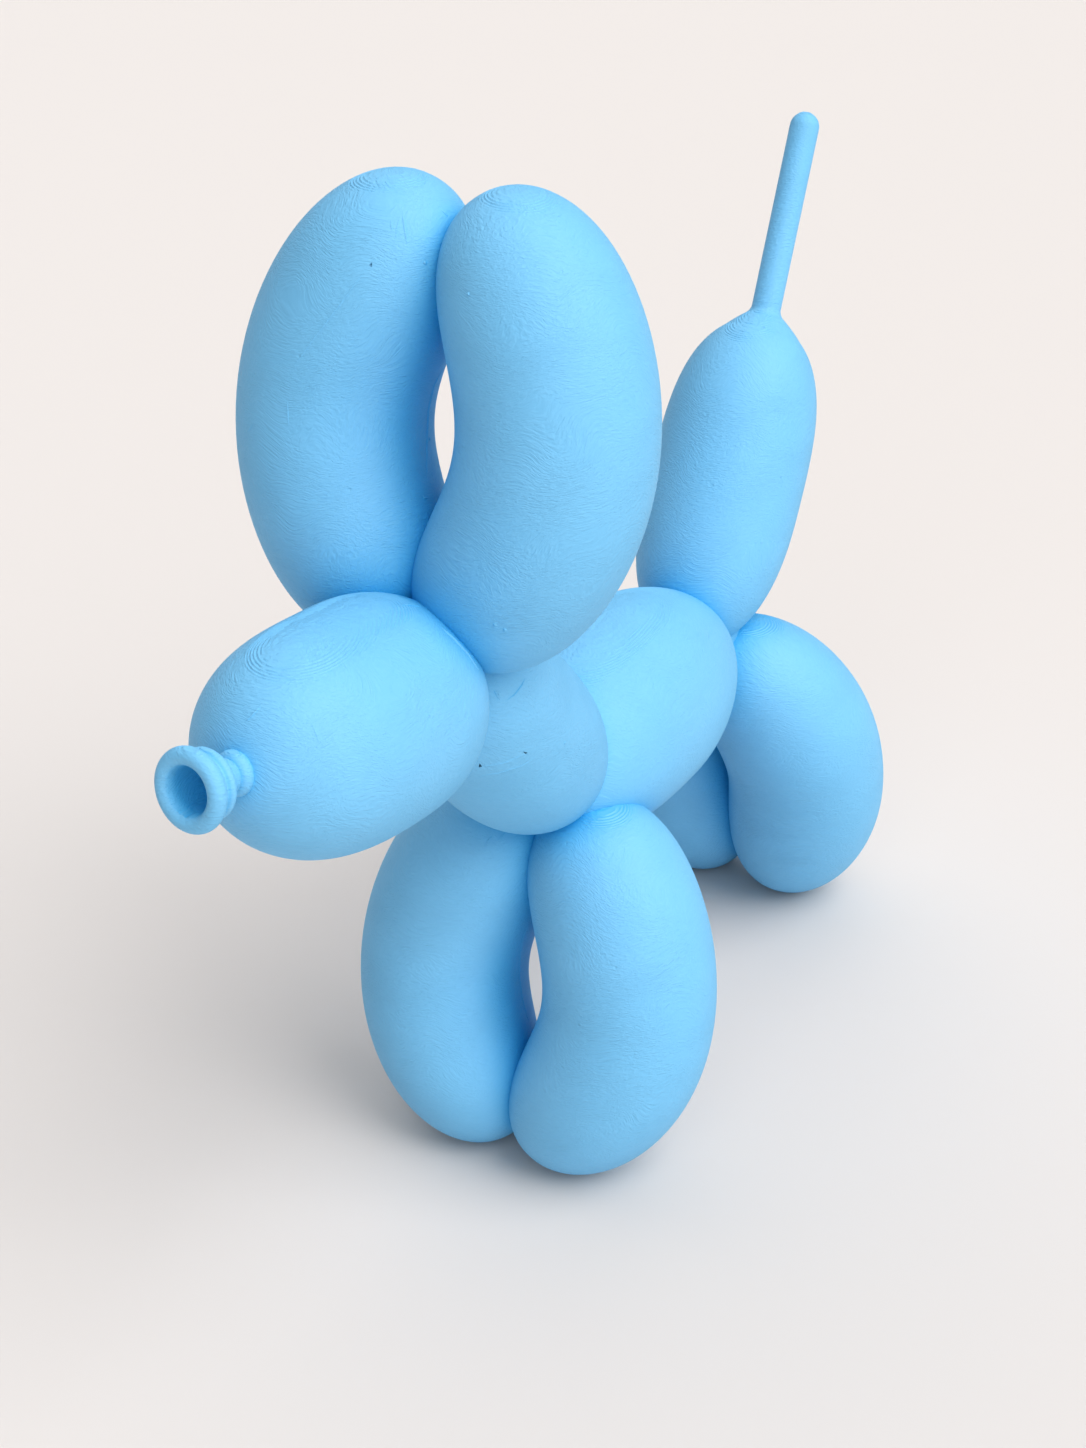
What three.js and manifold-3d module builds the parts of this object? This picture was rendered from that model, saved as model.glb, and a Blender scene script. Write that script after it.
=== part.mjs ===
// A balloon dog, printed standing in one piece of matte plastic: ears, snout with a filling nozzle, neck,
// body, four legs and a tail with a knot end, each a swollen lobe pinched where a balloon would be twisted.
// Millimetres, +Z up. The dog faces -Y, its own left side is +X, and its feet stand flat on z = 0.
import * as THREE from "three";
import { mergeVertices } from "three/addons/utils/BufferGeometryUtils.js";
import Module from "manifold-3d";

// The three twists that the lobes meet at, each with a ball at its heart that ties their tips together
const HEAD_TWIST = new THREE.Vector3(0, -44, 120);
const SHOULDER_TWIST = new THREE.Vector3(0, -5, 70);
const HIP_TWIST = new THREE.Vector3(0, 58, 71);
const TWIST_RADIUS = 8;

// Each lobe runs from a lower tip to an upper tip. Its middle line bows out by the two handles of a curve,
// its girth is greatest at a share of its length, and each end is blunter as its fullness rises.
// The ears and the legs are given for the dog's left side and mirrored to its right.
const EAR = {
  lower: new THREE.Vector3(2, 2, 0.5).add(HEAD_TWIST),
  upper: new THREE.Vector3(3, 18.5, 67).add(HEAD_TWIST),
  bow: [24.5, 21],
  bowWay: new THREE.Vector3(1, -0.05, 0),
  radius: 15.5,
  widestAt: 0.485,
  fullness: [4, 3.8],
};
const SNOUT = {
  lower: new THREE.Vector3(0, -51, 6.5).add(HEAD_TWIST),
  upper: new THREE.Vector3(0, 2, -6).add(HEAD_TWIST),
  bow: [-4.3, -1.5],
  bowWay: new THREE.Vector3(0, 0, 1),
  radius: 18.2,
  widestAt: 0.6,
  fullness: [3.3, 2.2],
};
const NECK = {
  lower: new THREE.Vector3(0, -4, 4).add(HEAD_TWIST),
  upper: new THREE.Vector3(0, 3.5, -1.5).add(SHOULDER_TWIST),
  bow: [0, 0],
  bowWay: new THREE.Vector3(0, 0, 1),
  radius: 15.4,
  widestAt: 0.6,
  fullness: [2.6, 2.2],
};
const BODY = {
  lower: new THREE.Vector3(0, -10, 4.5).add(SHOULDER_TWIST),
  upper: new THREE.Vector3(0, -2, 1).add(HIP_TWIST),
  bow: [0.6, 0.6],
  bowWay: new THREE.Vector3(0, 0, 1),
  radius: 19.2,
  widestAt: 0.55,
  fullness: [2.8, 1.7],
};
const FRONT_LEG = {
  lower: new THREE.Vector3(1.5, -21, 3.5),
  upper: new THREE.Vector3(3.5, 0.5, -0.5).add(SHOULDER_TWIST),
  bow: [26, 18],
  bowWay: new THREE.Vector3(1, 0, 0),
  radius: 15.7,
  widestAt: 0.445,
  fullness: [3, 4.3],
};
const REAR_LEG = {
  lower: new THREE.Vector3(5.5, 83.5, 0),
  upper: new THREE.Vector3(0, 0, -2).add(HIP_TWIST),
  bow: [15.5, 21.5],
  bowWay: new THREE.Vector3(1, 0.3, 0),
  radius: 16,
  widestAt: 0.425,
  fullness: [2.5, 3.2],
};
const TAIL = {
  lower: new THREE.Vector3(0, -8, 1).add(HIP_TWIST),
  upper: new THREE.Vector3(0, 29, 55).add(HIP_TWIST),
  bow: [1.9, 1.9],
  bowWay: new THREE.Vector3(0, 1, -0.7),
  radius: 15,
  widestAt: 0.475,
  fullness: [2.6, 3.3],
};

// The soles are trimmed flat this far up from where the round lobes would end
const SOLE_TRIM = 0.5;

// The nozzle stands a little below the snout's tip: a collar bead, a waist, a thin flange and a rolled lip,
// with a blind bore that narrows inwards. The places along it are measured from its seat.
const NOZZLE_SEAT = new THREE.Vector3(-0.7, 0.2, -2).add(SNOUT.lower);
const NOZZLE_WAY = new THREE.Vector3(-0.13, -0.95, 0.2).normalize();
const NOZZLE_LENGTH = 11;
const COLLAR_RADIUS = 3.45;
const COLLAR_ROUND = 1.6;
const COLLAR_AT = 0.7;
const WAIST_RADIUS = 2.75;
const WAIST_AT = 3.8;
const FLANGE_RADIUS = 5.35;
const FLANGE_ROUND = 0.9;
const FLANGE_AT = 6.4;
const LIP_RADIUS = 6.35;
const LIP_ROUND = 1.4;
const BORE_RADIUS = 3.5;
const BORE_END_RADIUS = 1.7;
const BORE_DEPTH = 7.5;

// The knot end at the tail's tip, a round rod that flares into the tail
const ROD_LENGTH = 40.3;
const ROD_RADIUS = 2.85;
const ROD_LIFT = THREE.MathUtils.degToRad(61);
const ROD_FILLET = 2.2;
const ROD_FLARE_RADIUS = 8.6;
const ROD_FLARE_DEPTH = 4.2;

// Facets of the lobes and of the turned pieces
const RINGS = 12;
const SIDES = 24;
const TURNED_SIDES = 20;

const PLASTIC = new THREE.MeshStandardMaterial({ color: 0x5fb2ec, roughness: 0.6, metalness: 0 });

const manifold = await Module();
manifold.setup();

// Turns a closed three.js geometry into a solid
function solidOf(geometry) {
  const bare = geometry.clone();
  bare.deleteAttribute("normal");
  bare.deleteAttribute("uv");
  const merged = mergeVertices(bare, 1e-4);
  return new manifold.Manifold(
    new manifold.Mesh({
      numProp: 3,
      vertProperties: merged.attributes.position.array,
      triVerts: new Uint32Array(merged.index.array),
    }),
  );
}

// Turns a solid back into a three.js geometry
function geometryOf(solid) {
  const mesh = solid.getMesh();
  const geometry = new THREE.BufferGeometry();
  geometry.setAttribute("position", new THREE.BufferAttribute(mesh.vertProperties, 3));
  geometry.setIndex(new THREE.BufferAttribute(mesh.triVerts, 1));
  geometry.computeVertexNormals();
  return geometry;
}

// The middle line of a lobe: a curve from tip to tip that bows out square to the line between them
function middleLine(lobe) {
  const chord = lobe.upper.clone().sub(lobe.lower);
  const out = lobe.bowWay.clone().projectOnPlane(chord.clone().normalize()).normalize();
  const handle = (share, bow) => lobe.lower.clone().addScaledVector(chord, share).addScaledVector(out, bow);
  return new THREE.CubicBezierCurve3(
    lobe.lower,
    handle(1 / 3, lobe.bow[0]),
    handle(2 / 3, lobe.bow[1]),
    lobe.upper,
  );
}

// The skin of a lobe: rings square to the middle line, with the radius R sqrt(1 - w^n) at the share w of the
// way from the widest place to either tip, set where balls strung on the line would touch the skin
function lobeGeometry(lobe) {
  const line = middleLine(lobe);
  const length = line.getLength();
  const side = new THREE.Vector3().crossVectors(lobe.upper.clone().sub(lobe.lower), lobe.bowWay).normalize();
  const positions = [];
  for (let i = 0; i <= RINGS; i++) {
    const w = Math.sin((Math.PI / 2) * ((2 * i) / RINGS - 1));
    const end = w < 0 ? 0 : 1;
    const reach = length * (w < 0 ? lobe.widestAt : 1 - lobe.widestAt);
    const n = lobe.fullness[end];
    const radius = lobe.radius * Math.sqrt(Math.max(0, 1 - Math.abs(w) ** n));
    const lean = (Math.sign(w) * lobe.radius ** 2 * n * Math.abs(w) ** (n - 1)) / (2 * reach);
    const share = (lobe.widestAt * length + w * reach - lean) / length;
    const way = line.getTangentAt(share);
    const centre = line.getPointAt(share).addScaledVector(way, lean);
    const across = new THREE.Vector3().crossVectors(way, side);
    const count = i === 0 || i === RINGS ? 1 : SIDES;
    for (let j = 0; j < count; j++) {
      const turn = (2 * Math.PI * j) / SIDES;
      const point = centre
        .clone()
        .addScaledVector(side, radius * Math.cos(turn))
        .addScaledVector(across, radius * Math.sin(turn));
      positions.push(point.x, point.y, point.z);
    }
  }
  const ring = (i, j) => (i === 0 ? 0 : 1 + (i - 1) * SIDES + (i === RINGS ? 0 : j % SIDES));
  const faces = [];
  for (let i = 0; i < RINGS; i++) {
    for (let j = 0; j < SIDES; j++) {
      if (i > 0) faces.push(ring(i, j), ring(i, j + 1), ring(i + 1, j + 1));
      if (i < RINGS - 1) faces.push(ring(i, j), ring(i + 1, j + 1), ring(i + 1, j));
    }
  }
  const geometry = new THREE.BufferGeometry();
  geometry.setAttribute("position", new THREE.Float32BufferAttribute(positions, 3));
  geometry.setIndex(faces);
  return geometry;
}

// A lobe and its mirror image on the dog's right side
function pairOf(lobe) {
  const left = solidOf(lobeGeometry(lobe));
  return left.add(left.mirror([1, 0, 0]));
}

// Leg pairs move up or down until their soles end just below z = 0, where they are trimmed
function standing(legs) {
  return legs.translate([0, 0, -SOLE_TRIM - legs.boundingBox().min[2]]);
}

// Sets a piece turned about +Y at a point, with its axis along a direction
function placed(geometry, point, way) {
  geometry.applyQuaternion(new THREE.Quaternion().setFromUnitVectors(new THREE.Vector3(0, 1, 0), way));
  geometry.translate(point.x, point.y, point.z);
  return geometry;
}

// The nozzle's outside and its bore, from inside the snout to the bore's end
function nozzleProfile() {
  const profile = new THREE.Path();
  const collar = COLLAR_RADIUS - COLLAR_ROUND;
  const flange = FLANGE_RADIUS - FLANGE_ROUND;
  const lip = LIP_RADIUS - LIP_ROUND;
  const lipAt = NOZZLE_LENGTH - LIP_ROUND;
  const steep = Math.PI / 3;
  profile.moveTo(0, -COLLAR_RADIUS);
  profile.lineTo(collar, -COLLAR_RADIUS);
  profile.absarc(collar, COLLAR_AT, COLLAR_ROUND, -steep, steep, false);
  profile.quadraticCurveTo(WAIST_RADIUS, COLLAR_AT + 1.2 * COLLAR_ROUND, WAIST_RADIUS, WAIST_AT);
  profile.quadraticCurveTo(WAIST_RADIUS, FLANGE_AT - 1.4 * FLANGE_ROUND, flange, FLANGE_AT - FLANGE_ROUND);
  profile.absarc(flange, FLANGE_AT, FLANGE_ROUND, -Math.PI / 2, steep, false);
  profile.absarc(lip, lipAt, LIP_ROUND, -steep, Math.PI * 0.8, false);
  profile.lineTo(BORE_RADIUS, lipAt - 0.5 * LIP_ROUND);
  profile.quadraticCurveTo(
    BORE_RADIUS,
    NOZZLE_LENGTH - 0.55 * BORE_DEPTH,
    BORE_END_RADIUS,
    NOZZLE_LENGTH - BORE_DEPTH,
  );
  profile.lineTo(0, NOZZLE_LENGTH - BORE_DEPTH);
  return profile.getPoints(4);
}

function nozzleGeometry() {
  return placed(new THREE.LatheGeometry(nozzleProfile(), TURNED_SIDES), NOZZLE_SEAT, NOZZLE_WAY);
}

// The ball at the heart of a twist
function twistGeometry(twist) {
  const ball = new THREE.SphereGeometry(TWIST_RADIUS, 16, 12);
  return ball.translate(twist.x, twist.y, twist.z);
}

// The knot rod, from inside the tail by its flare and fillet to its round end
function rodGeometry() {
  const profile = new THREE.Path();
  const fillet = ROD_RADIUS + ROD_FILLET;
  const end = THREE.MathUtils.degToRad(-128);
  profile.moveTo(0, -2 * ROD_FLARE_DEPTH);
  profile.lineTo(ROD_FLARE_RADIUS, -2 * ROD_FLARE_DEPTH);
  profile.lineTo(ROD_FLARE_RADIUS, -ROD_FLARE_DEPTH);
  profile.quadraticCurveTo(
    0.8 * ROD_FLARE_RADIUS,
    -0.5 * ROD_FLARE_DEPTH,
    fillet + ROD_FILLET * Math.cos(end),
    ROD_FILLET * (1 + Math.sin(end)),
  );
  profile.absarc(fillet, ROD_FILLET, ROD_FILLET, end, -Math.PI, true);
  profile.absarc(0, ROD_LENGTH - ROD_RADIUS, ROD_RADIUS, 0, Math.PI / 2, false);
  const way = new THREE.Vector3(0, Math.cos(ROD_LIFT), Math.sin(ROD_LIFT));
  return placed(new THREE.LatheGeometry(profile.getPoints(5), TURNED_SIDES), TAIL.upper, way);
}

// The space over the floor, which trims the soles flat
function aboveFloor(box) {
  const size = [0, 1, 2].map((k) => 2 * (box.max[k] - box.min[k]));
  const space = new THREE.BoxGeometry(...size);
  space.translate(0, 0, size[2] / 2);
  return solidOf(space);
}

function dogGeometry() {
  const pieces = [SNOUT, NECK, BODY, TAIL].map((lobe) => solidOf(lobeGeometry(lobe)));
  pieces.push(pairOf(EAR), standing(pairOf(FRONT_LEG)), standing(pairOf(REAR_LEG)));
  pieces.push(...[HEAD_TWIST, SHOULDER_TWIST, HIP_TWIST].map((twist) => solidOf(twistGeometry(twist))));
  pieces.push(solidOf(nozzleGeometry()), solidOf(rodGeometry()));
  const whole = pieces.reduce((sum, piece) => sum.add(piece));
  const geometry = geometryOf(whole.intersect(aboveFloor(whole.boundingBox())));
  geometry.computeBoundingBox();
  const { min, max } = geometry.boundingBox;
  return geometry.translate(0, -(min.y + max.y) / 2, 0);
}

const dog = new THREE.Mesh(dogGeometry(), PLASTIC);
dog.name = "balloon_dog";

const group = new THREE.Group();
group.add(dog);
export default group;
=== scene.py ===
"""A balloon dog printed standing in matte blue plastic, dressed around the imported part."""

from bisect import bisect_right
from math import cos, pi, radians, sin, sqrt

import bmesh
import bpy
from mathutils import Matrix, Vector
from mathutils.bvhtree import BVHTree


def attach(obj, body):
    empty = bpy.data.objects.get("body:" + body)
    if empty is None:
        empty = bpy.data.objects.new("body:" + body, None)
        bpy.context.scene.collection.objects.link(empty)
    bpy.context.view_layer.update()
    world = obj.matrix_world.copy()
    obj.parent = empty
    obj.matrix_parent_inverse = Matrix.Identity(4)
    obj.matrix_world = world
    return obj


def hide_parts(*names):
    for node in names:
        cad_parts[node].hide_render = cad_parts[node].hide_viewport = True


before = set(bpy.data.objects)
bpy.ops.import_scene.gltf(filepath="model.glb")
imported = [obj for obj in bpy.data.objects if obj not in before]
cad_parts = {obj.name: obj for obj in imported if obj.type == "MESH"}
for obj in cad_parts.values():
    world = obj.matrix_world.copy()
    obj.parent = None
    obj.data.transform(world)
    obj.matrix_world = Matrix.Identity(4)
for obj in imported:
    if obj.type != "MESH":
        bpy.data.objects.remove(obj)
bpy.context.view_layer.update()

# The dog is shaped in millimetres and brought to metres at the end
MM = 0.001

# The twists and lobes of the part, as its source gives them
HEAD_TWIST = Vector((0, -44, 120))
SHOULDER_TWIST = Vector((0, -5, 70))
HIP_TWIST = Vector((0, 58, 71))
TWIST_RADIUS = 8
SOLE_TRIM = 0.5

EAR = dict(
    lower=HEAD_TWIST + Vector((2, 2, 0.5)),
    upper=HEAD_TWIST + Vector((3, 18.5, 67)),
    bow=(24.5, 21),
    bow_way=Vector((1, -0.05, 0)),
    radius=15.5,
    widest_at=0.485,
    fullness=(4, 3.8),
)
SNOUT = dict(
    lower=HEAD_TWIST + Vector((0, -51, 6.5)),
    upper=HEAD_TWIST + Vector((0, 2, -6)),
    bow=(-4.3, -1.5),
    bow_way=Vector((0, 0, 1)),
    radius=18.2,
    widest_at=0.6,
    fullness=(3.3, 2.2),
)
NECK = dict(
    lower=HEAD_TWIST + Vector((0, -4, 4)),
    upper=SHOULDER_TWIST + Vector((0, 3.5, -1.5)),
    bow=(0, 0),
    bow_way=Vector((0, 0, 1)),
    radius=15.4,
    widest_at=0.6,
    fullness=(2.6, 2.2),
)
BODY = dict(
    lower=SHOULDER_TWIST + Vector((0, -10, 4.5)),
    upper=HIP_TWIST + Vector((0, -2, 1)),
    bow=(0.6, 0.6),
    bow_way=Vector((0, 0, 1)),
    radius=19.2,
    widest_at=0.55,
    fullness=(2.8, 1.7),
)
FRONT_LEG = dict(
    lower=Vector((1.5, -21, 3.5)),
    upper=SHOULDER_TWIST + Vector((3.5, 0.5, -0.5)),
    bow=(26, 18),
    bow_way=Vector((1, 0, 0)),
    radius=15.7,
    widest_at=0.445,
    fullness=(3, 4.3),
)
REAR_LEG = dict(
    lower=Vector((5.5, 83.5, 0)),
    upper=HIP_TWIST + Vector((0, 0, -2)),
    bow=(15.5, 21.5),
    bow_way=Vector((1, 0.3, 0)),
    radius=16,
    widest_at=0.425,
    fullness=(2.5, 3.2),
)
TAIL = dict(
    lower=HIP_TWIST + Vector((0, -8, 1)),
    upper=HIP_TWIST + Vector((0, 29, 55)),
    bow=(1.9, 1.9),
    bow_way=Vector((0, 1, -0.7)),
    radius=15,
    widest_at=0.475,
    fullness=(2.6, 3.3),
)

# The nozzle leans a little off the snout's middle line
NOZZLE_SEAT = SNOUT["lower"] + Vector((-0.7, 0.2, -2))
NOZZLE_WAY = Vector((-0.13, -0.95, 0.2)).normalized()
NOZZLE_LENGTH = 11
COLLAR_RADIUS = 3.45
COLLAR_ROUND = 1.6
COLLAR_AT = 0.7
WAIST_RADIUS = 2.75
WAIST_AT = 3.8
FLANGE_RADIUS = 5.35
FLANGE_ROUND = 0.9
FLANGE_AT = 6.4
LIP_RADIUS = 6.35
LIP_ROUND = 1.4
BORE_RADIUS = 3.5
BORE_END_RADIUS = 1.7
BORE_DEPTH = 7.5

ROD_LENGTH = 40.3
ROD_RADIUS = 2.85
ROD_LIFT = radians(61)
ROD_FILLET = 2.2
ROD_FILLET_AT = 2.3
ROD_FLARE = (8.6, -4.2)
ROD_FLARE_PULL = (7, -2)

# Round stretches of the turned profiles: first and last angle in degrees, and steps
COLLAR_ARC = (-60, 62, 14)
FLANGE_ARC = (-90, 58, 12)
LIP_ARC = (-62, 144, 18)
ROD_FILLET_ARC = (-128, -180, 10)
ROD_CAP_ARC = (0, 90, 14)

# How the nozzle's bends are drawn: past the collar, before the flange, in the groove and down the bore
COLLAR_SETTLE = 0.5
FLANGE_SWELL = 0.2
FLANGE_RUN = 1.2
GROOVE_SWELL = 0.1
GROOVE_DROP = 0.3
BORE_MOUTH = 1.5
BORE_BEND = 0.55

# The camera, and the photograph's size in pixels
CAMERA_PLACE = Vector((0.1845, -0.3392, 0.3114))
CAMERA_TURN = radians(29.1)
CAMERA_DOWN = radians(30.82)
CAMERA_ROLL = radians(-2.03)
CAMERA_LENS = 62.8
SENSOR = 36
PHOTO_WIDTH = 1086
PHOTO_HEIGHT = 1448

# The studio lamps: strength, spread, lift over the floor and turn about Z, the angles in degrees
WHITE = (1, 1, 1, 1)
SURROUND_STRENGTH = 0.18
LAMPS = dict(
    key=(1.76, 50, 50, 0),
    front_fill=(1.1, 80, 30, 315),
    back_fill=(0.96, 80, 60, 135),
)

# The plastic's colours, a deeper blue painted into its creases as shade, how far that painted shade
# reaches, and the depth of its relief in metres
PLASTIC_DEEP = (0.19, 0.525, 0.82, 1)
PLASTIC_PALE = (0.21, 0.55, 0.85, 1)
PAINTED_CREASE_SHADE = (0.01, 0.44, 0.78, 1)
PLASTIC_ROUGHNESS = 0.6
PLASTIC_SPECULAR = 0.5
CREASE_SHADE_REACH = 0.016
STREAK_WANDER = 0.014
STREAK_DEPTH = 1.45e-4
LONG_STREAK_DEPTH = 2e-5
GRAIN_DEPTH = 1.2e-5
SPECK_DEPTH = 1e-4

# The cells of its patterns to a metre, and how far a noise is distorted
WANDER_CELLS = 70
STREAK_CELLS = (1000, 1000, 3600)
STREAK_DISTORTION = 0.6
LONG_STREAK_CELLS = (80, 80, 900)
LONG_STREAK_DISTORTION = 0.3
GRAIN_CELLS = 3000
CLOUD_CELLS = 42
PATCH_CELLS = 60
SPECK_CELLS = 230

# Its specks: their radius and soft edge in a cell, and the draws that raise or sink one
SPECK_RADIUS = 0.075
SPECK_EDGE = 0.02
RAISED_OVER = 0.8
SUNK_UNDER = 0.16

# How clouds and streaks share its tone, the tones of its two blues, how open a place must be to count as
# fully open and free of the painted crease shade, and how much grain and long streaks change its
# roughness
CLOUD_SHARE = 0.6
STREAK_SHARE = 0.4
DEEP_TONE = 0.35
PALE_TONE = 0.65
SHADE_OPEN_GAIN = 1.25
SHADE_OPEN_EDGE = 0.2
SHADE_OPEN_SAMPLES = 8
GRAIN_DULLING = 0.16
STREAK_DULLING = 0.1

# The floor's paper, and half the floor's width in metres
PAPER_COLOUR = (0.725, 0.686, 0.665, 1)
PAPER_ROUGHNESS = 1
PAPER_SPECULAR = 0.1
FLOOR_REACH = 6

# The printed layers, which show as terraces where the surface turns level: they begin and are whole
# where its normal rises this much, and a riser takes this share of a layer on each side
LAYER = 0.2
STEEP = 0.84
LEVEL = 0.92
RISER = 0.22

# Marks by their pixels in the photograph, with their half widths and half heights or radii
RAISED_STROKES = (
    # the seams on the inner sides of an ear and a front leg
    (0.26, 0.17, ((445.5, 364), (434, 385), (428.5, 408), (427, 437), (427, 463), (427.2, 489))),
    (0.22, 0.16, ((422.8, 495), (424.5, 498.5), (428, 497.8))),
    (
        0.24,
        0.12,
        ((531, 921), (524, 935), (520.5, 954), (519.5, 974), (522, 996), (527, 1016), (531, 1026)),
    ),
    # strings and scars on the ears
    (0.22, 0.1, ((402, 210), (405, 228), (407.5, 246))),
    (0.18, 0.07, ((401, 214), (397, 228), (396, 240))),
    (0.18, 0.07, ((391, 219), (392, 232))),
    (0.22, 0.1, ((441, 209), (445, 213), (448, 217))),
    (0.16, 0.06, ((377, 254), (345, 297), (312, 340), (289, 374))),
    (0.18, 0.08, ((287, 400), (288, 425))),
    (0.2, 0.1, ((246, 433), (254, 423))),
    # the snout and its rear edge
    (0.22, 0.12, ((245, 722), (254, 713), (262, 704))),
    (0.16, 0.06, ((310, 720), (316, 733), (320, 745))),
    (0.26, 0.16, ((399, 605), (411, 605), (423, 607))),
    (0.3, 0.2, ((440, 626), (453, 638), (467, 653), (480, 672))),
    # the neck
    (0.24, 0.14, ((494, 690), (497, 695), (500.5, 700.5))),
    (0.26, 0.15, ((504.5, 702.5), (515, 695), (522, 686), (526, 677))),
    (0.22, 0.1, ((471, 778), (500, 773), (520, 767), (536, 758))),
    (0.18, 0.08, ((476, 768), (505, 763), (530, 752))),
    # the front legs
    (0.2, 0.12, ((483, 848), (488, 841), (492, 836))),
    (0.2, 0.12, ((497, 842), (501, 837), (505, 833))),
)
BLOBS = (
    (425, 263, 0.32),
    (468, 294, 0.3),
    (565, 743, 0.3),
    (429.5, 439, 0.3),
    (495, 625, 0.3),
    (505, 630, 0.34),
)

# How deep the middle of a stroke or a blob lies under the skin, as a share of its half height or
# radius, and the reach in which the skin's facing is averaged for it
STROKE_SUNK = 0.35
BLOB_SUNK = 0.4
FACING_REACH = 0.6

# Edges shorter than this are closed up after the marks are joined
SLIVER = 0.004

# How finely the shapes are divided
LOBE_SIDES = 108
LOBE_RINGS = 76
TURNED_SIDES = 72
TWIST_SIDES = 32
TWIST_RINGS = 20
STROKE_SIDES = 8
STROKE_RINGS = 6

# Points closer than this are one point, a cut runs this near a corner without splitting it,
# and a face that rises past a cut by less than the last is done
SAME_POINT = 1e-4
CUT_NEAR = 1e-6
CUT_DONE = 1e-5

# Edges that turn by more than this stay sharp
SHARP_TURN = radians(34)


# The middle line of a lobe and places along it


class MiddleLine:
    """A curve from tip to tip that bows out square to the line between them, measured by its length."""

    STEPS = 400

    def __init__(self, lobe):
        chord = lobe["upper"] - lobe["lower"]
        out = lobe["bow_way"] - lobe["bow_way"].project(chord)
        out.normalize()
        self.side = chord.cross(out).normalized()
        self.knots = (
            lobe["lower"],
            lobe["lower"] + chord / 3 + out * lobe["bow"][0],
            lobe["lower"] + chord * 2 / 3 + out * lobe["bow"][1],
            lobe["upper"],
        )
        self.reached = [0.0]
        last = self.point(0)
        for i in range(1, self.STEPS + 1):
            here = self.point(i / self.STEPS)
            self.reached.append(self.reached[-1] + (here - last).length)
            last = here
        self.length = self.reached[-1]

    def point(self, t):
        a, b, c, d = self.knots
        u = 1 - t
        return a * u**3 + b * (3 * u * u * t) + c * (3 * u * t * t) + d * t**3

    def way(self, t):
        a, b, c, d = self.knots
        u = 1 - t
        return ((b - a) * u * u + (c - b) * (2 * u * t) + (d - c) * t * t).normalized()

    def share_at(self, distance):
        """The curve's own parameter at a distance along it."""
        i = min(max(bisect_right(self.reached, distance) - 1, 0), self.STEPS - 1)
        span = self.reached[i + 1] - self.reached[i]
        return (i + (distance - self.reached[i]) / span) / self.STEPS


# Shapes, each a bmesh in millimetres


def spun(points, sides):
    """Turns a profile of (radius, height) points about Z into a closed skin."""
    bm = bmesh.new()
    chain = [bm.verts.new((radius, 0, height)) for radius, height in points]
    edges = [bm.edges.new(pair) for pair in zip(chain, chain[1:])]
    bmesh.ops.spin(
        bm, geom=chain + edges, cent=(0, 0, 0), axis=(0, 0, 1), angle=2 * pi, steps=sides, use_merge=True
    )
    bmesh.ops.remove_doubles(bm, verts=bm.verts[:], dist=SAME_POINT)
    bmesh.ops.recalc_face_normals(bm, faces=bm.faces[:])
    return bm


def lobe_profile(lobe, length, share):
    """The height from the widest place and the radius of the skin, at a share from -1 to 1."""
    upper = share > 0
    reach = length * ((1 - lobe["widest_at"]) if upper else lobe["widest_at"])
    n = lobe["fullness"][upper]
    radius = lobe["radius"] * sqrt(max(0, 1 - abs(share) ** n))
    return share * reach, radius


def lean_at(lobe, length, height):
    """How far ahead of its ball's centre the skin is touched, at a height from the widest place."""
    upper = height > 0
    reach = length * ((1 - lobe["widest_at"]) if upper else lobe["widest_at"])
    n = lobe["fullness"][upper]
    slope = lobe["radius"] ** 2 * n * abs(height / reach) ** (n - 1) / (2 * reach)
    return slope if upper else -slope


def lobe_shape(lobe):
    """A lobe: its profile is spun straight, then every point is carried onto the bowed middle line."""
    line = MiddleLine(lobe)
    turns = [sin(pi / 2 * (2 * i / LOBE_RINGS - 1)) for i in range(LOBE_RINGS + 1)]
    profile = []
    for share in turns:
        height, radius = lobe_profile(lobe, line.length, share)
        profile.append((radius, height))
    bm = spun(profile, LOBE_SIDES)
    for vert in bm.verts:
        lean = lean_at(lobe, line.length, vert.co.z)
        t = line.share_at(lobe["widest_at"] * line.length + vert.co.z - lean)
        way = line.way(t)
        across = way.cross(line.side)
        vert.co = line.point(t) + way * lean + line.side * vert.co.x + across * vert.co.y
    return bm


def mirrored(bm):
    """The same shape on the dog's right side."""
    twin = bm.copy()
    bmesh.ops.scale(twin, vec=(-1, 1, 1), verts=twin.verts[:])
    bmesh.ops.reverse_faces(twin, faces=twin.faces[:])
    return twin


def standing(bm):
    """Brings a leg's sole just below the floor and trims it flat there."""
    lowest = min(vert.co.z for vert in bm.verts)
    bmesh.ops.translate(bm, vec=(0, 0, -SOLE_TRIM - lowest), verts=bm.verts[:])
    geom = bm.verts[:] + bm.edges[:] + bm.faces[:]
    bmesh.ops.bisect_plane(bm, geom=geom, plane_co=(0, 0, 0), plane_no=(0, 0, 1), clear_inner=True)
    rim = [edge for edge in bm.edges if edge.is_boundary]
    bmesh.ops.holes_fill(bm, edges=rim)
    bmesh.ops.recalc_face_normals(bm, faces=bm.faces[:])
    return bm


def arc(centre, radius, start, end, steps):
    """Points of a round stretch of a profile, its angles in degrees."""
    angles = [radians(start + (end - start) * i / steps) for i in range(steps + 1)]
    return [(centre[0] + radius * cos(a), centre[1] + radius * sin(a)) for a in angles]


def bend_through(start, pull, end, steps):
    """Points of a stretch of a profile that bends from start to end, drawn towards pull."""
    shares = [i / steps for i in range(1, steps + 1)]
    return [
        tuple(start[k] * (1 - t) ** 2 + pull[k] * 2 * t * (1 - t) + end[k] * t * t for k in (0, 1))
        for t in shares
    ]


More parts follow.
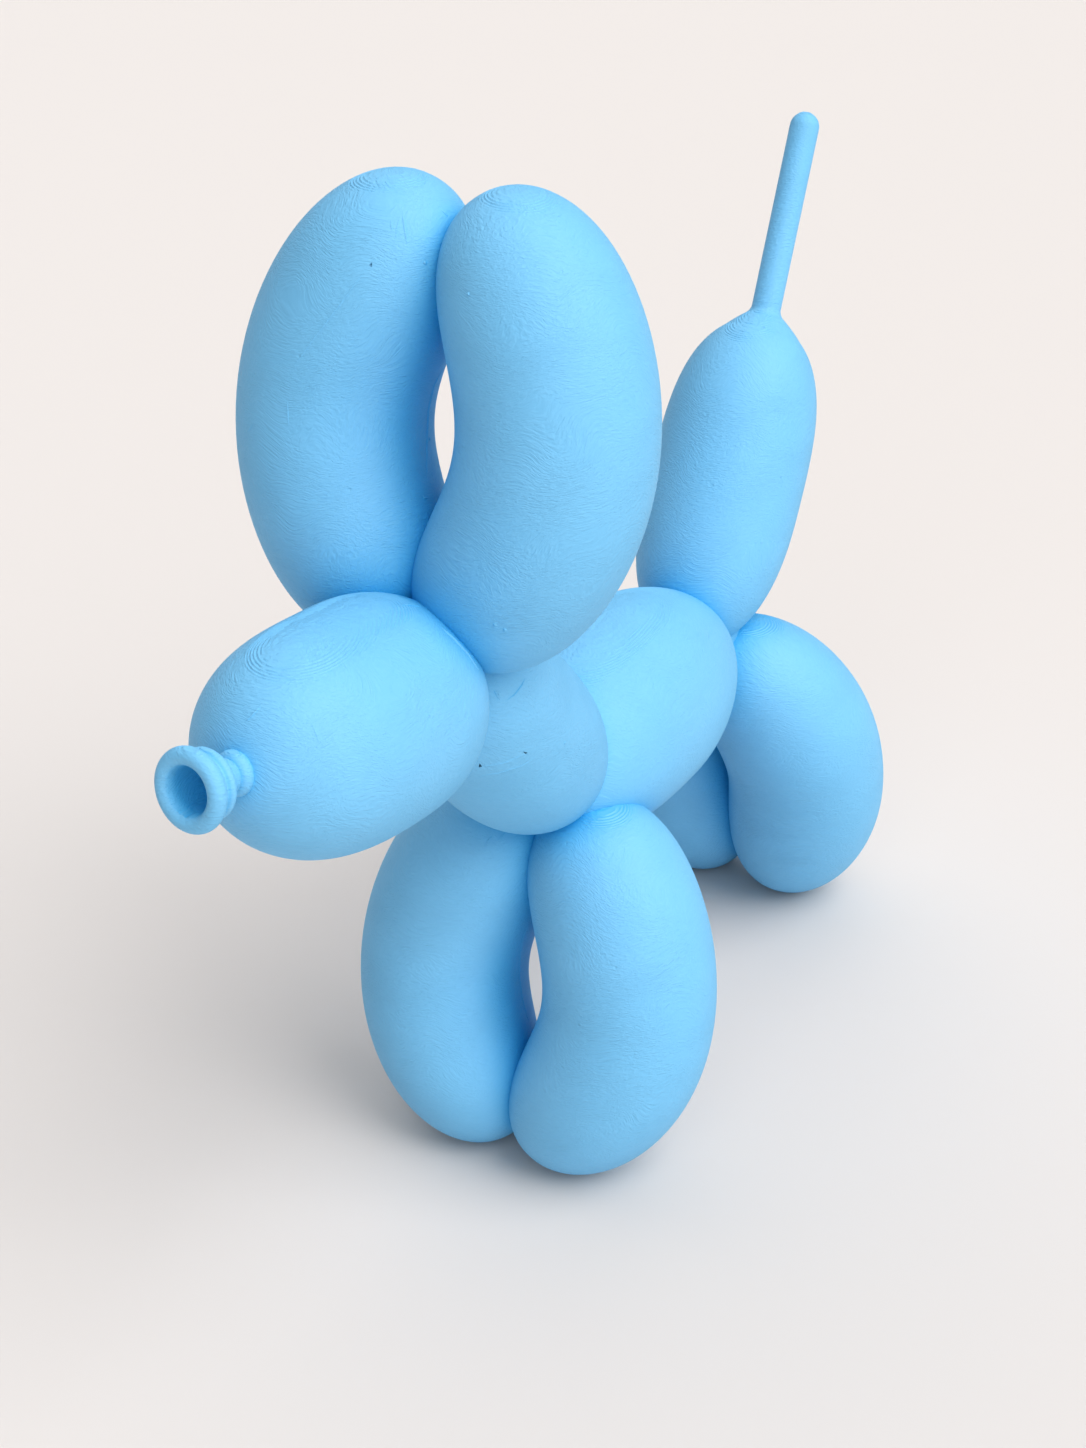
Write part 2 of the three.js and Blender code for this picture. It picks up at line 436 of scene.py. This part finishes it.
def along(bm, point, way):
    """Sets a turned shape at a point with its axis along a direction."""
    turn = Vector((0, 0, 1)).rotation_difference(way).to_matrix().to_4x4()
    bmesh.ops.transform(bm, matrix=Matrix.Translation(point) @ turn, verts=bm.verts[:])
    return bm


def nozzle_shape():
    """The nozzle from inside the snout: collar bead, waist, thin flange and rolled lip with its bore."""
    lip = (LIP_RADIUS - LIP_ROUND, NOZZLE_LENGTH - LIP_ROUND)
    collar = (COLLAR_RADIUS - COLLAR_ROUND, COLLAR_AT)
    flange = (FLANGE_RADIUS - FLANGE_ROUND, FLANGE_AT)
    points = [(0, -COLLAR_RADIUS), (collar[0], -COLLAR_RADIUS)]
    points += arc(collar, COLLAR_ROUND, *COLLAR_ARC)
    collar_pull = (WAIST_RADIUS, points[-1][1] + COLLAR_SETTLE)
    points += bend_through(points[-1], collar_pull, (WAIST_RADIUS, WAIST_AT), 6)
    flange_pull = (WAIST_RADIUS + FLANGE_SWELL, FLANGE_AT - FLANGE_RUN)
    points += bend_through(points[-1], flange_pull, (flange[0], FLANGE_AT - FLANGE_ROUND), 8)
    points += arc(flange, FLANGE_ROUND, *FLANGE_ARC)[1:]
    rolled = arc(lip, LIP_ROUND, *LIP_ARC)
    groove_pull = (flange[0] + GROOVE_SWELL, (FLANGE_AT + lip[1]) / 2 - GROOVE_DROP)
    points += bend_through(points[-1], groove_pull, rolled[0], 6)
    points += rolled[1:]
    points += [(BORE_RADIUS, NOZZLE_LENGTH - BORE_MOUTH * LIP_ROUND)]
    bore_pull = (BORE_RADIUS, NOZZLE_LENGTH - BORE_BEND * BORE_DEPTH)
    bore_end = (BORE_END_RADIUS, NOZZLE_LENGTH - BORE_DEPTH)
    points += bend_through(points[-1], bore_pull, bore_end, 8)
    points += [(0, NOZZLE_LENGTH - BORE_DEPTH)]
    return along(spun(points, TURNED_SIDES), NOZZLE_SEAT, NOZZLE_WAY)


def rod_shape():
    """The balloon's straight knot end, from the flare on the tail to its round tip."""
    fillet = arc((ROD_RADIUS + ROD_FILLET, ROD_FILLET_AT), ROD_FILLET, *ROD_FILLET_ARC)
    points = [(0, 2 * ROD_FLARE[1]), (ROD_FLARE[0], 2 * ROD_FLARE[1]), ROD_FLARE]
    points += bend_through(ROD_FLARE, ROD_FLARE_PULL, fillet[0], 8)
    points += fillet[1:]
    points += arc((0, ROD_LENGTH - ROD_RADIUS), ROD_RADIUS, *ROD_CAP_ARC)
    return along(spun(points, TURNED_SIDES), TAIL["upper"], Vector((0, cos(ROD_LIFT), sin(ROD_LIFT))))


def twist_shape(twist):
    """A ball at the heart of a twist, which holds the lobes' tips together."""
    bm = bmesh.new()
    bmesh.ops.create_uvsphere(
        bm, u_segments=TWIST_SIDES, v_segments=TWIST_RINGS, radius=TWIST_RADIUS
    )
    bmesh.ops.translate(bm, vec=twist, verts=bm.verts[:])
    return bm


# Joining the shapes into one print


def object_from(bm, name):
    """Makes a bmesh an object of the scene."""
    mesh = bpy.data.meshes.new(name)
    bm.to_mesh(mesh)
    bm.free()
    made = bpy.data.objects.new(name, mesh)
    bpy.context.scene.collection.objects.link(made)
    return made


def joined(shapes, name):
    """The union of closed shapes as one object."""
    objects = [object_from(bm, f"{name}_{i}") for i, bm in enumerate(shapes)]
    whole = objects[0]
    for other in objects[1:]:
        union = whole.modifiers.new(other.name, "BOOLEAN")
        union.operation = "UNION"
        union.solver = "MANIFOLD"
        union.object = other
    evaluated = whole.evaluated_get(bpy.context.evaluated_depsgraph_get())
    mesh = bpy.data.meshes.new_from_object(evaluated)
    for used in objects:
        bpy.data.objects.remove(used)
    result = bpy.data.objects.new(name, mesh)
    bpy.context.scene.collection.objects.link(result)
    return result


def height_span(face):
    """The lowest and the highest point of a face."""
    heights = [vert.co.z for vert in face.verts]
    return min(heights), max(heights)


def terraced(bm):
    """Steps the skin into printed layers where it turns level."""
    bm.normal_update()
    level = [face for face in bm.faces if face.normal.z > STEEP and face.calc_center_median().z > LAYER]
    waiting = sorted((height_span(face) + (i, face) for i, face in enumerate(level)), reverse=True)
    touched = {vert for face in level for vert in face.verts}
    cutting = []
    k = int(waiting[-1][0] / LAYER)
    while waiting or cutting:
        for side in (-RISER, RISER):
            height = (k + 0.5 + side) * LAYER
            while waiting and waiting[-1][0] < height:
                low, high, i, face = waiting.pop()
                if high > height:
                    cutting.append(face)
            if not cutting:
                continue
            geom = set(cutting)
            geom.update(edge for face in cutting for edge in face.edges)
            geom.update(vert for face in cutting for vert in face.verts)
            cut = bmesh.ops.bisect_plane(
                bm, geom=list(geom), plane_co=(0, 0, height), plane_no=(0, 0, 1), dist=CUT_NEAR
            )
            touched.update(part for part in cut["geom_cut"] if isinstance(part, bmesh.types.BMVert))
            faces = (part for part in cut["geom"] if isinstance(part, bmesh.types.BMFace))
            cutting = [face for face in faces if height_span(face)[1] > height + CUT_DONE]
        k += 1
    bm.normal_update()
    for vert in touched:
        fade = min(max((vert.normal.z - STEEP) / (LEVEL - STEEP), 0), 1)
        vert.co.z += (round(vert.co.z / LAYER) * LAYER - vert.co.z) * fade


def build_dog():
    """The whole print, in metres, with its layers and its marks."""
    shapes = [lobe_shape(lobe) for lobe in (SNOUT, NECK, BODY, TAIL)]
    ear = lobe_shape(EAR)
    front_leg = standing(lobe_shape(FRONT_LEG))
    rear_leg = standing(lobe_shape(REAR_LEG))
    for left in (ear, front_leg, rear_leg):
        shapes += [left, mirrored(left)]
    shapes += [twist_shape(twist) for twist in (HEAD_TWIST, SHOULDER_TWIST, HIP_TWIST)]
    shapes += [nozzle_shape(), rod_shape()]
    dog = joined(shapes, "dog_print")
    bm = bmesh.new()
    bm.from_mesh(dog.data)
    terraced(bm)
    ys = [vert.co.y for vert in bm.verts]
    bmesh.ops.translate(bm, vec=(0, -(min(ys) + max(ys)) / 2, 0), verts=bm.verts[:])
    bm.to_mesh(dog.data)
    skin = BVHTree.FromBMesh(bm)
    bm.free()
    marked(dog, skin)
    dog.data.transform(Matrix.Scale(MM, 4))
    dog.data.shade_smooth()
    dog.data.set_sharp_from_angle(angle=SHARP_TURN)
    return dog


# Marks that the print was left with, at their places in the photograph


def camera_seat():
    """The camera's place and turn, as a matrix."""
    turn = Matrix.Rotation(CAMERA_TURN, 4, "Z")
    tilt = Matrix.Rotation(pi / 2 - CAMERA_DOWN, 4, "X")
    return Matrix.Translation(CAMERA_PLACE) @ turn @ tilt @ Matrix.Rotation(CAMERA_ROLL, 4, "Z")


def seen_at(skin, x, y):
    """The place on the skin that the photograph shows at a pixel, and how the skin faces round it."""
    reach = CAMERA_LENS / SENSOR * PHOTO_HEIGHT
    seat = camera_seat()
    way = seat.to_3x3() @ Vector(((x - PHOTO_WIDTH / 2) / reach, (PHOTO_HEIGHT / 2 - y) / reach, -1))
    place, _, _, _ = skin.ray_cast(seat.translation / MM, way.normalized())
    facing = Vector()
    for _, normal, _, _ in skin.find_nearest_range(place, FACING_REACH):
        facing += normal
    return place, facing.normalized()


def stroke_shape(skin, path, half_width, half_height):
    """A thin spindle that lies along a path on the skin, its middle and its tips sunk in it."""
    bm = bmesh.new()
    bmesh.ops.create_uvsphere(bm, u_segments=STROKE_SIDES, v_segments=STROKE_RINGS * len(path), radius=1)
    corners = [seen_at(skin, x, y)[0] for x, y in path]
    for vert in bm.verts:
        reached = (vert.co.z + 1) / 2 * (len(path) - 1)
        k = min(int(reached), len(path) - 2)
        (x0, y0), (x1, y1) = path[k], path[k + 1]
        share = reached - k
        place, normal = seen_at(skin, x0 + (x1 - x0) * share, y0 + (y1 - y0) * share)
        across = normal.cross(corners[k + 1] - corners[k]).normalized()
        lift = (vert.co.y - STROKE_SUNK) * half_height / (1 - STROKE_SUNK)
        vert.co = place + across * vert.co.x * half_width + normal * lift
    bmesh.ops.recalc_face_normals(bm, faces=bm.faces[:])
    return bm


def blob_shape(skin, x, y, radius):
    """A round speck, half sunk in the skin."""
    place, normal = seen_at(skin, x, y)
    bm = bmesh.new()
    bmesh.ops.create_icosphere(bm, subdivisions=2, radius=radius)
    bmesh.ops.translate(bm, vec=place - normal * radius * BLOB_SUNK, verts=bm.verts[:])
    return bm


def gathered(shapes, name):
    """Small shapes as one object."""
    whole = bmesh.new()
    for bm in shapes:
        mesh = bpy.data.meshes.new(name)
        bm.to_mesh(mesh)
        bm.free()
        whole.from_mesh(mesh)
        bpy.data.meshes.remove(mesh)
    return object_from(whole, name)


def marked(dog, skin):
    """Joins the raised strokes and blobs to the print."""
    shapes = [stroke_shape(skin, path, width, height) for width, height, path in RAISED_STROKES]
    shapes += [blob_shape(skin, x, y, radius) for x, y, radius in BLOBS]
    marks = gathered(shapes, "marks")
    union = dog.modifiers.new("marks", "BOOLEAN")
    union.operation = "UNION"
    union.solver = "MANIFOLD"
    union.object = marks
    mesh = bpy.data.meshes.new_from_object(dog.evaluated_get(bpy.context.evaluated_depsgraph_get()))
    dog.modifiers.clear()
    dog.data = mesh
    bpy.data.objects.remove(marks)
    bm = bmesh.new()
    bm.from_mesh(dog.data)
    bmesh.ops.remove_doubles(bm, verts=bm.verts[:], dist=SLIVER)
    bmesh.ops.dissolve_degenerate(bm, edges=bm.edges[:], dist=SLIVER)
    bm.to_mesh(dog.data)
    bm.free()


# Materials


class Nodes:
    """Adds nodes to a material, one call each."""

    def __init__(self, name):
        self.material = bpy.data.materials.new(name)
        self.material.use_nodes = True
        self.tree = self.material.node_tree
        self.shader = self.tree.nodes["Principled BSDF"]

    def add(self, kind, **settings):
        node = self.tree.nodes.new(kind)
        for name, value in settings.items():
            setattr(node, name, value)
        return node

    def link(self, out, into):
        self.tree.links.new(out, into)

    def stretched(self, coordinates, scale):
        node = self.add("ShaderNodeMapping")
        node.inputs["Scale"].default_value = scale
        self.link(coordinates, node.inputs["Vector"])
        return node.outputs[0]

    def noise(self, coordinates, scale, detail=2.0, distortion=0.0):
        node = self.add("ShaderNodeTexNoise")
        self.link(coordinates, node.inputs["Vector"])
        node.inputs["Scale"].default_value = scale
        node.inputs["Detail"].default_value = detail
        node.inputs["Distortion"].default_value = distortion
        return node.outputs["Fac"]

    def between(self, value, low, high, low_colour, high_colour):
        ramp = self.add("ShaderNodeValToRGB")
        ramp.color_ramp.elements[0].position = low
        ramp.color_ramp.elements[0].color = low_colour
        ramp.color_ramp.elements[1].position = high
        ramp.color_ramp.elements[1].color = high_colour
        self.link(value, ramp.inputs[0])
        return ramp.outputs[0]

    def worked(self, kind, operation, values):
        node = self.add(kind, operation=operation)
        for socket, value in zip(node.inputs, values):
            if isinstance(value, bpy.types.NodeSocket):
                self.link(value, socket)
            else:
                socket.default_value = value
        return node.outputs[0]

    def math(self, operation, *values):
        return self.worked("ShaderNodeMath", operation, values)

    def vector(self, operation, *values):
        return self.worked("ShaderNodeVectorMath", operation, values)


def blue_plastic():
    """Matte printed plastic: wavy streaks along the layers, a grain, specks, and painted shade in its
    creases.
    """
    n = Nodes("blue_plastic")
    place = n.add("ShaderNodeTexCoord").outputs["Object"]
    wander = n.add("ShaderNodeTexNoise")
    n.link(place, wander.inputs["Vector"])
    wander.inputs["Scale"].default_value = WANDER_CELLS
    wander.inputs["Detail"].default_value = 1
    swayed = n.vector("MULTIPLY_ADD", wander.outputs["Color"], (STREAK_WANDER,) * 3, place)
    stretched = n.stretched(swayed, STREAK_CELLS)
    streaks = n.noise(stretched, 1, detail=1, distortion=STREAK_DISTORTION)
    stretched = n.stretched(swayed, LONG_STREAK_CELLS)
    long_streaks = n.noise(stretched, 1, detail=2, distortion=LONG_STREAK_DISTORTION)
    grain = n.noise(place, GRAIN_CELLS, detail=2)
    clouds = n.noise(place, CLOUD_CELLS, detail=3)
    patches = n.noise(place, PATCH_CELLS, detail=1)

    speck = n.add("ShaderNodeTexVoronoi")
    n.link(place, speck.inputs["Vector"])
    speck.inputs["Scale"].default_value = SPECK_CELLS
    chance = n.add("ShaderNodeSeparateColor")
    n.link(speck.outputs["Color"], chance.inputs[0])
    near = n.math("SUBTRACT", SPECK_RADIUS, speck.outputs["Distance"])
    near = n.math("SMOOTH_MAX", near, 0, SPECK_EDGE)
    raised = n.math("GREATER_THAN", chance.outputs[0], RAISED_OVER)
    sunk = n.math("LESS_THAN", chance.outputs[0], SUNK_UNDER)
    speck_height = n.math("MULTIPLY", near, n.math("SUBTRACT", raised, sunk))

    tone = n.math("MULTIPLY", clouds, CLOUD_SHARE)
    tone = n.math("ADD", tone, n.math("MULTIPLY", streaks, STREAK_SHARE))
    open_colour = n.between(tone, DEEP_TONE, PALE_TONE, PLASTIC_DEEP, PLASTIC_PALE)
    # Painted shade: where ambient occlusion finds a crease, a deeper and more saturated blue is mixed
    # into the colour
    shade_openness = n.add("ShaderNodeAmbientOcclusion", samples=SHADE_OPEN_SAMPLES, only_local=True)
    shade_openness.inputs["Distance"].default_value = CREASE_SHADE_REACH
    shade_opened = n.math("MULTIPLY", shade_openness.outputs["AO"], SHADE_OPEN_GAIN)
    painted_shade = n.add("ShaderNodeMix", data_type="RGBA")
    n.link(n.math("SMOOTH_MIN", shade_opened, 1, SHADE_OPEN_EDGE), painted_shade.inputs["Factor"])
    painted_shade.inputs["A"].default_value = PAINTED_CREASE_SHADE
    n.link(open_colour, painted_shade.inputs["B"])
    n.link(painted_shade.outputs["Result"], n.shader.inputs["Base Color"])

    dull = n.math("MULTIPLY", grain, GRAIN_DULLING)
    dull = n.math("ADD", dull, n.math("MULTIPLY", long_streaks, STREAK_DULLING))
    evenly = PLASTIC_ROUGHNESS - (GRAIN_DULLING + STREAK_DULLING) / 2
    n.link(n.math("ADD", dull, evenly), n.shader.inputs["Roughness"])

    streak_depth = n.math("MULTIPLY_ADD", patches, STREAK_DEPTH, STREAK_DEPTH / 2)
    height = n.math("MULTIPLY", streaks, streak_depth)
    height = n.math("ADD", height, n.math("MULTIPLY", long_streaks, LONG_STREAK_DEPTH))
    height = n.math("ADD", height, n.math("MULTIPLY", grain, GRAIN_DEPTH))
    height = n.math("ADD", height, n.math("MULTIPLY", speck_height, SPECK_DEPTH / SPECK_RADIUS))
    bump = n.add("ShaderNodeBump")
    bump.inputs["Strength"].default_value = 1
    bump.inputs["Distance"].default_value = 1
    n.link(height, bump.inputs["Height"])
    n.link(bump.outputs[0], n.shader.inputs["Normal"])
    n.shader.inputs["Specular IOR Level"].default_value = PLASTIC_SPECULAR
    return n.material


def pale_paper():
    """The dull seamless paper that the dog stands on."""
    n = Nodes("pale_paper")
    n.shader.inputs["Base Color"].default_value = PAPER_COLOUR
    n.shader.inputs["Roughness"].default_value = PAPER_ROUGHNESS
    n.shader.inputs["Specular IOR Level"].default_value = PAPER_SPECULAR
    return n.material


# The stage


def build_floor():
    bm = bmesh.new()
    bmesh.ops.create_grid(bm, x_segments=1, y_segments=1, size=FLOOR_REACH)
    floor = object_from(bm, "floor")
    floor.data.materials.append(pale_paper())


def build_light():
    """A wide soft key from the dog's left and softer fills in front and behind, in a dim surround."""
    world = bpy.data.worlds.new("studio")
    world.use_nodes = True
    world.node_tree.nodes["Background"].inputs["Color"].default_value = WHITE
    world.node_tree.nodes["Background"].inputs["Strength"].default_value = SURROUND_STRENGTH
    bpy.context.scene.world = world
    for name, (strength, spread, lift, turn) in LAMPS.items():
        lamp = bpy.data.lights.new(name, "SUN")
        lamp.energy = strength
        lamp.angle = radians(spread)
        stand = bpy.data.objects.new(name, lamp)
        stand.rotation_euler = (0, radians(90 - lift), radians(turn))
        bpy.context.scene.collection.objects.link(stand)
    bpy.context.scene.view_settings.view_transform = "Standard"
    bpy.context.scene.view_settings.look = "Medium High Contrast"


def build_camera():
    camera = bpy.data.cameras.new("camera")
    camera.sensor_width = SENSOR
    camera.lens = CAMERA_LENS
    seat = bpy.data.objects.new("camera", camera)
    seat.matrix_world = camera_seat()
    bpy.context.scene.collection.objects.link(seat)
    bpy.context.scene.camera = seat


build_camera()
build_light()
build_floor()

dog = build_dog()
dog.data.materials.clear()
dog.data.materials.append(blue_plastic())
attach(dog, "root")
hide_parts("balloon_dog")
